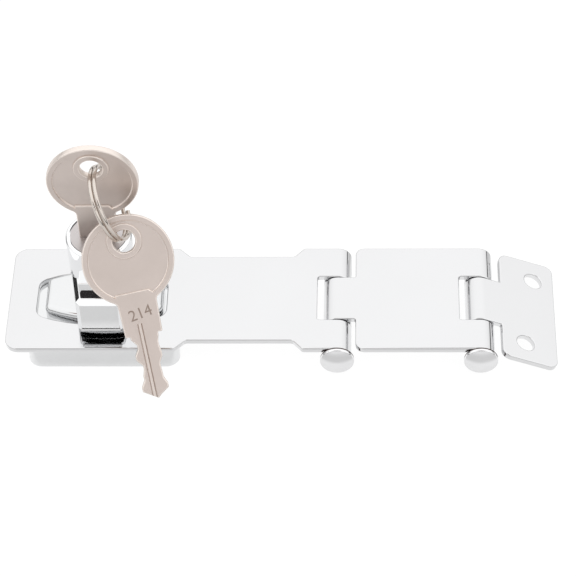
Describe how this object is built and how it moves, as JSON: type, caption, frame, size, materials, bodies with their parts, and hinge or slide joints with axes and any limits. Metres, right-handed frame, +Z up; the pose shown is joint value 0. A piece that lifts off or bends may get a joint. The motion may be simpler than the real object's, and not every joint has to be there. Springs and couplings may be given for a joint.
{
  "type": "keyed hasp lock",
  "caption": "Chromed double-hinged hasp held down by a keyed winged turn knob on a screwed base, with a key in the plug and a spare key on a split ring.",
  "frame": {"origin": "on the lock's turning axis, in the plane of the base's underside, at the centre of its four screw holes", "axes": "+X along the strap towards the hinges, +Y to the back, +Z up along the knob and key"},
  "size_m": [0.1203, 0.045, 0.0538],
  "materials": {
    "base_chrome": "chrome plated zinc casting",
    "knob_chrome": "bright chrome plated zinc casting",
    "leaf_chrome": "bright chrome plated sheet steel",
    "pin_chrome": "chrome plated steel",
    "plug_nickel": "satin nickel plate",
    "key_nickel": "tumbled warm nickel plate",
    "ring_steel": "bright nickel plated spring wire",
    "brass_parts": "plain stamped brass",
    "spring_steel": "dark spring steel",
    "washer_plastic": "plain moulded nylon"
  },
  "bodies": {
    "base": {"base": "base_chrome", "circlip": "spring_steel", "thrust_washer": "washer_plastic"},
    "hasp_leaf": {"hasp_leaf": "leaf_chrome", "hinge_pin_1": "pin_chrome"},
    "middle_leaf": {"middle_leaf": "leaf_chrome", "hinge_pin_2": "pin_chrome"},
    "end_leaf": {"end_leaf": "leaf_chrome"},
    "knob": {"knob_body": "knob_chrome"},
    "plug": {"lock_plug": "plug_nickel", "retaining_wafer": "brass_parts", "wafer_1": "brass_parts", "wafer_2": "brass_parts", "wafer_3": "brass_parts", "wafer_4": "brass_parts", "wafer_5": "brass_parts", "wafer_spring_1": "spring_steel", "wafer_spring_2": "spring_steel", "wafer_spring_3": "spring_steel", "wafer_spring_4": "spring_steel", "wafer_spring_5": "spring_steel"},
    "bolt": {"locking_bolt": "brass_parts"},
    "key": {"key_in_lock": "key_nickel"},
    "ring": {"key_ring": "ring_steel"},
    "spare_key": {"spare_key": "key_nickel"}
  },
  "joints": [
    {"name": "leaf_lift", "type": "slide", "parent": "base", "child": "hasp_leaf", "axis": [0, 0, 1], "range_m": [0, 0.002]},
    {"name": "hinge_1", "type": "hinge", "parent": "hasp_leaf", "child": "middle_leaf", "pos_m": [0.05105, 0, 0.0048], "axis": [0, 1, 0], "range_deg": [-95, 140]},
    {"name": "hinge_2", "type": "hinge", "parent": "middle_leaf", "child": "end_leaf", "pos_m": [0.08215, 0, 0.0048], "axis": [0, 1, 0], "range_deg": [-115, 120]},
    {"name": "knob_turn", "type": "hinge", "parent": "base", "child": "knob", "pos_m": [0, 0, 0.01], "axis": [0, 0, -1], "range_deg": [0, 90]},
    {"name": "key_turn", "type": "hinge", "parent": "knob", "child": "plug", "pos_m": [0, 0, 0.02], "axis": [0, 0, -1], "range_deg": [0, 90]},
    {"name": "bolt_throw", "type": "slide", "parent": "knob", "child": "bolt", "axis": [1, 0, 0], "range_m": [0, 0.0015]},
    {"name": "key_withdraw", "type": "slide", "parent": "plug", "child": "key", "axis": [0, 0, 1], "range_m": [0, 0.0145]},
    {"name": "ring_swing", "type": "hinge", "parent": "key", "child": "ring", "pos_m": [0.00059, -0.00023, 0.04775], "axis": [-0.113, -0.9225, 0.369], "range_deg": [0, 25]},
    {"name": "spare_key_swing", "type": "hinge", "parent": "ring", "child": "spare_key", "pos_m": [0.00616, -0.009, 0.03546], "axis": [0.2387, 0.7245, -0.6466], "range_deg": [-30, 40]}
  ],
  "couplings": [
    {"joint": "bolt_throw", "follows": "key_turn", "m_per_rad": 0.000954}
  ]
}
